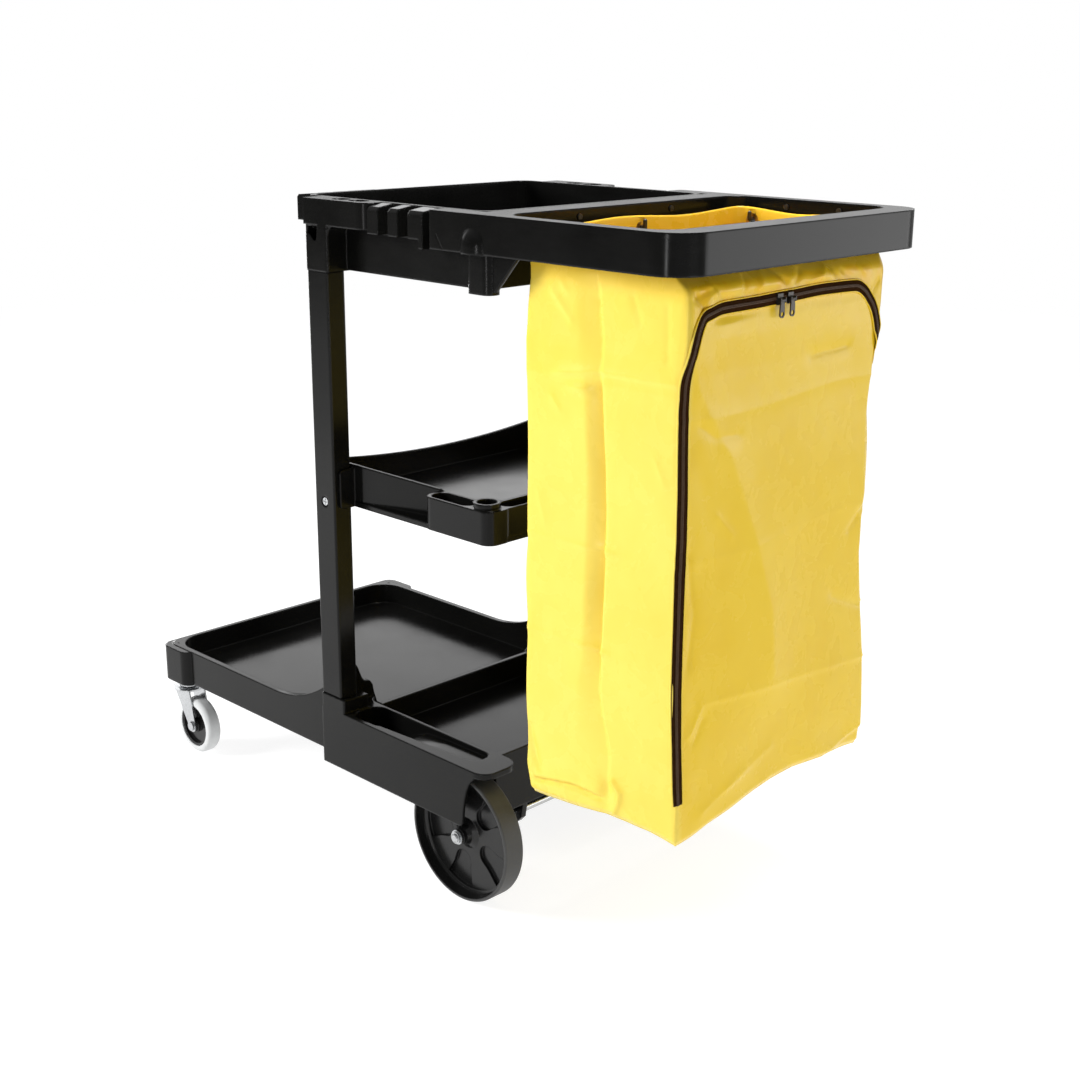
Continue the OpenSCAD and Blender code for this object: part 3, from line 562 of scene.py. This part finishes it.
def make_bag(M):
    px, py, nx, ny = section()
    n = len(px)
    z_low = floor_z(px, py)
    hem = 979.0 + 2.6 * np.sin(px / 33.0 + py / 41.0)
    rows = 280
    tt = np.linspace(0, 1, rows)
    verts, faces = [], []
    Z = z_low[None, :] + (hem - z_low)[None, :] * tt[:, None]
    PX, PY = np.broadcast_to(px, Z.shape), np.broadcast_to(py, Z.shape)
    NX, NY = np.broadcast_to(nx, Z.shape), np.broadcast_to(ny, Z.shape)
    X, Y = bag_shape(PX, PY, NX, NY, Z)
    # the foot of the wall tucks in a little towards the bottom seam
    tuck = 5.0 * (1 - smooth(0, 9, Z - z_low[None, :]))
    X = X - NX * tuck
    Y = Y - NY * tuck
    for i in range(rows):
        for j in range(n):
            verts.append((X[i, j] / 1000, Y[i, j] / 1000, Z[i, j] / 1000))
    for i in range(rows - 1):
        for j in range(n):
            k = (j + 1) % n
            faces.append((i * n + j, i * n + k, (i + 1) * n + k, (i + 1) * n + j))
    # bottom panel, sagging in the middle
    cx, cy = X[0].mean(), Y[0].mean()
    prev = list(range(n))
    steps = 16
    for r in range(1, steps):
        f = 1 - r / steps
        ids = []
        for j in range(n):
            x = cx + (X[0, j] - cx) * f
            y = cy + (Y[0, j] - cy) * f
            z = (Z[0, j] - 212) * f ** 2 + 212 - 3.0 * (1 - f) + 1.4 * math.sin(x / 31.0) * math.sin(y / 43.0) * (1 - f)
            ids.append(len(verts))
            verts.append((x / 1000, y / 1000, z / 1000))
        for j in range(n):
            k = (j + 1) % n
            faces.append((prev[k], prev[j], ids[j], ids[k]))
        prev = ids
    c = len(verts)
    verts.append((cx / 1000, cy / 1000, 0.209))
    for j in range(n):
        faces.append((prev[(j + 1) % n], prev[j], c))
    # eyelet holes
    V = np.array(verts) * 1000
    keep = []
    for f in faces:
        m = V[list(f)].mean(axis=0)
        cut = False
        if m[2] > 940:
            for (gx, gy, gz), ax in GROMMETS:
                if ax == "x" and abs(m[0] - gx) < 10 and math.hypot(m[1] - gy, m[2] - gz) < 7.4:
                    cut = True
                if ax == "y" and abs(m[1] - gy) < 10 and math.hypot(m[0] - gx, m[2] - gz) < 7.4:
                    cut = True
        if not cut:
            keep.append(f)
    o = new_object("bag_sheet", verts, keep, M["bag_vinyl"])
    s = o.modifiers.new("thick", "SOLIDIFY")
    s.thickness = 0.0007
    s.offset = -1.0
    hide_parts("vinyl_bag")
    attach(o, "bag")
    area = sum(
        0.5 * np.linalg.norm(np.cross(V[f[1]] - V[f[0]], V[f[2]] - V[f[0]])) + (0.5 * np.linalg.norm(np.cross(V[f[2]] - V[f[0]], V[f[3]] - V[f[0]])) if len(f) == 4 else 0)
        for f in keep
    ) / 1e6
    print("bag area", area)
    return o


def on_rear(y, z):
    """Point on the rear face of the bag for a place y across and z up (mm), and its x."""
    yf = float(interp(z, FAR_Y))
    yn = float(interp(z, NEAR_Y))
    py = BY0 + (y - yn) / (yf - yn) * (BY1 - BY0)
    a = np.atleast_1d(np.array(py, float))
    c, b = FAR_CORNER, CORNER
    nx, ny = np.ones_like(a), np.zeros_like(a)
    px = np.full_like(a, BX1)
    turn = np.clip((a - (BY1 - c)) / (c * 1.5708), 0, 1) * 1.5708
    past = np.maximum(a - (BY1 - c) - c * 1.5708, 0)
    over = a > BY1 - c
    px = np.where(over, BX1 - c + c * np.cos(turn) - past, px)
    nx = np.where(over, np.cos(turn), nx)
    ny = np.where(over, np.sin(turn), ny)
    s2 = np.clip((BY0 + b - a) / b, 0, 0.98)
    near = a < BY0 + b
    px = np.where(near, BX1 - b + b * np.sqrt(1 - s2 * s2), px)
    nx = np.where(near, np.sqrt(1 - s2 * s2), nx)
    ny = np.where(near, -s2, ny)
    a = np.where(over, BY1 - c + c * np.sin(turn), a)
    x, yy = bag_shape(px, a, nx, ny, np.full_like(a, z))
    return Vector((float(x[0]), float(yy[0]), float(z))), Vector((float(nx[0]), float(ny[0]), 0.0))


ZIP = [(-219, 271), (-220, 300), (-220.5, 348), (-220.5, 415), (-219.5, 480), (-218.5, 580), (-219.5, 660), (-222, 741), (-223.5, 800), (-220.5, 836), (-215, 856), (-207, 874), (-198, 889),
       (-192, 894), (-182, 896.5), (-158, 899.6), (-119, 900.2), (-80, 900.5), (-39, 901.6), (-8, 902), (42, 903.5), (80, 903), (118, 901.8), (134, 899.8), (148, 893), (160, 882.5), (170, 870), (177, 856), (183, 837),
       (187, 817), (192, 790), (199, 750), (203, 700), (208, 596), (222, 446), (232, 340), (236, 262)]


def catmull(pts, per):
    P = [Vector((0.0, *p)) for p in pts]
    P = [P[0] * 2 - P[1]] + P + [P[-1] * 2 - P[-2]]
    out = []
    for i in range(1, len(P) - 2):
        L = (P[i + 1] - P[i]).length
        m = max(2, int(L / per))
        for k in range(m):
            t = k / m
            a, b, c, d = P[i - 1], P[i], P[i + 1], P[i + 2]
            out.append(0.5 * ((2 * b) + (c - a) * t + (2 * a - 5 * b + 4 * c - d) * t * t + (3 * b - a - 3 * c + d) * t ** 3))
    out.append(P[-2])
    return out


def strip(name, mat, profile, offset=0.0, per=4.0, pts=ZIP, close=False):
    """Sweeps a profile of (across, out) in mm along the zipper line on the bag's rear face."""
    line = catmull(pts, per)
    base, nor = [], []
    for p in line:
        q, nn = on_rear(p.y, p.z)
        base.append(q)
        nor.append(nn)
    verts, faces = [], []
    m = len(profile)
    for i, q in enumerate(base):
        a, b = base[max(0, i - 1)], base[min(len(base) - 1, i + 1)]
        tan = (b - a).normalized()
        nn = nor[i]
        side = nn.cross(tan).normalized()
        out = tan.cross(side).normalized()
        if out.dot(nn) < 0:
            out = -out
        for s, h in profile:
            verts.append((q + side * s + out * (h + offset)) / 1000)
    for i in range(len(base) - 1):
        for j in range(m - 1 if not close else m):
            k = (j + 1) % m
            faces.append((i * m + j, i * m + k, (i + 1) * m + k, (i + 1) * m + j))
    if close:
        faces.append(tuple(range(m - 1, -1, -1)))
        L = len(base) - 1
        faces.append(tuple(L * m + j for j in range(m)))
    return new_object(name, verts, faces, mat)


def make_zipper(M):
    prof = [(-7.3, -0.4), (-7.3, 0.6), (-4.2, 1.1), (-2.3, 1.0), (2.3, 1.0), (4.2, 1.1), (7.3, 0.6), (7.3, -0.4)]
    t = strip("zipper_strip", M["zip_tape"], prof, 0.4, 3.0, ZIP, True)
    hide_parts("zipper_tape")
    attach(t, "bag")
    c = strip("zipper_coil", M["zip_coil"], [(-2.2, 0.9), (-1.9, 2.1), (-0.4, 2.3), (0.0, 1.8), (0.4, 2.3), (1.9, 2.1), (2.2, 0.9)], 0.4, 1.5, ZIP, True)
    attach(c, "bag")
    for s, nm in ((-1, "zipper_edge_outer"), (1, "zipper_edge_inner")):
        e = strip(nm, M["bag_vinyl"], [(s * 7.2, 0.1), (s * 7.2, 1.4), (s * 7.7, 1.8), (s * 8.6, 1.3), (s * 9.3, 0.1)][:: (1 if s > 0 else -1)], 0.3, 3.0, ZIP, True)
        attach(e, "bag")


def make_hem(M):
    """Folded and welded band round the mouth."""
    px, py, nx, ny = section()
    n = len(px)
    hem = 979.0 + 2.6 * np.sin(px / 33.0 + py / 41.0)
    verts, faces = [], []
    prof = [(-24.0, 0.2), (-23.0, 0.9), (-12.0, 1.1), (-1.5, 1.0), (0.9, 0.4), (0.9, -1.2), (-1.5, -1.7), (-22.0, -1.6)]
    m = len(prof)
    for j in range(n):
        for dz, out in prof:
            z = np.array([hem[j] + dz])
            x, y = bag_shape(px[j:j + 1], py[j:j + 1], nx[j:j + 1], ny[j:j + 1], z)
            verts.append(((x[0] + nx[j] * out) / 1000, (y[0] + ny[j] * out) / 1000, z[0] / 1000))
    for j in range(n):
        k = (j + 1) % n
        for i in range(m - 1):
            faces.append((j * m + i, k * m + i, k * m + i + 1, j * m + i + 1))
    V = np.array(verts) * 1000
    keep = []
    for f in faces:
        c = V[list(f)].mean(axis=0)
        if not any(math.hypot(c[1 if ax == "x" else 0] - g[1 if ax == "x" else 0], c[2] - g[2]) < 8.2 and abs(c[0 if ax == "x" else 1] - g[0 if ax == "x" else 1]) < 12 for g, ax in GROMMETS):
            keep.append(f)
    o = new_object("bag_hem", verts, keep, M["bag_vinyl"])
    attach(o, "bag")
    return o


# ----------------------------------------------------------------------------
def blend_shading(o):
    """Smooth shading over the shallow breaks of a moulded floor; real edges stay split."""
    w = o.modifiers.new("weld", "WELD")
    w.merge_threshold = 0.00002
    e = o.modifiers.new("split", "EDGE_SPLIT")
    e.split_angle = math.radians(30)
    e.use_edge_sharp = False
    o.modifiers.new("normals", "WEIGHTED_NORMAL")


make_camera()
make_stage()
MATS = make_materials()
dress_nodes(MATS)
blend_shading(bpy.data.objects["base_platform"])
bag = make_bag(MATS)
hem = make_hem(MATS)
make_zipper(MATS)

scene.view_settings.view_transform = "Standard"
scene.view_settings.look = "None"


bpy.context.view_layer.update()
